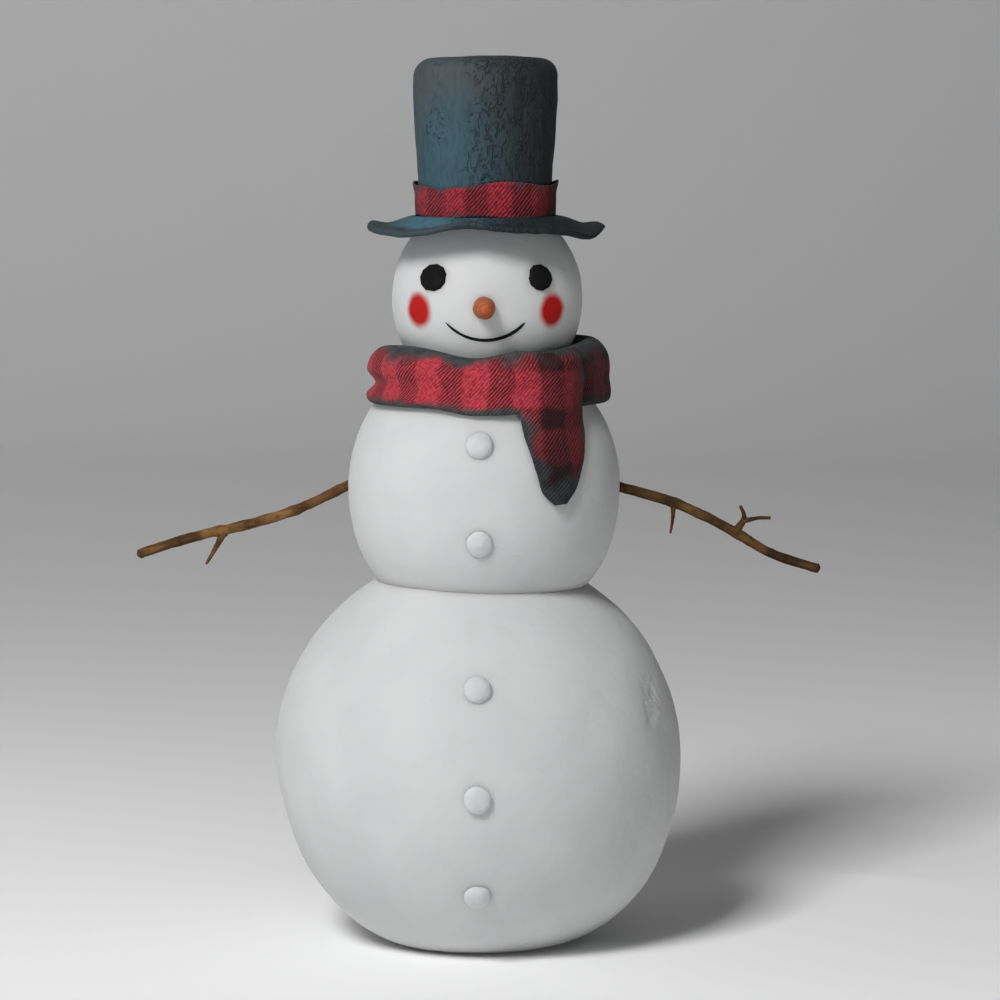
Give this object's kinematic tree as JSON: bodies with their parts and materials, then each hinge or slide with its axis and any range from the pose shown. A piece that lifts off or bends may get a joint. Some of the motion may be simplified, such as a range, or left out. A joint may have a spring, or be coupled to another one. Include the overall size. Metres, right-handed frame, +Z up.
{
  "type": "snowman",
  "caption": "Standing snowman of stacked snowballs with stick arms, a carrot nose, coal eyes, a plaid scarf and a top hat with a wavy brim.",
  "frame": {"origin": "centre of the flat foot under the bottom snowball, on the ground", "axes": "+Z up, the face looks along -Y, +X towards the arm with the forked twig"},
  "size_m": [0.9362, 0.5687, 1.207],
  "materials": {
    "snow": "matte",
    "coal": "matte",
    "carrot": "satin",
    "bark": "matte",
    "plaid": "matte",
    "hat": "matte"
  },
  "bodies": {
    "root": {"snow_base": "snow", "snow_middle": "snow", "snow_head": "snow", "button_1": "snow", "button_2": "snow", "button_3": "snow", "button_4": "snow", "button_5": "snow", "coal_eye_left": "coal", "coal_eye_right": "coal", "mouth": "coal", "carrot_nose": "carrot", "arm_left_main": "bark", "arm_left_twig": "bark", "arm_right_main": "bark", "arm_right_lower_twig": "bark", "arm_right_upper_twig": "bark", "arm_right_upper_prong": "bark", "scarf_wrap": "plaid", "scarf_tail": "plaid", "hat_crown": "hat", "hat_brim": "hat", "hat_band": "plaid"}
  },
  "joints": []
}
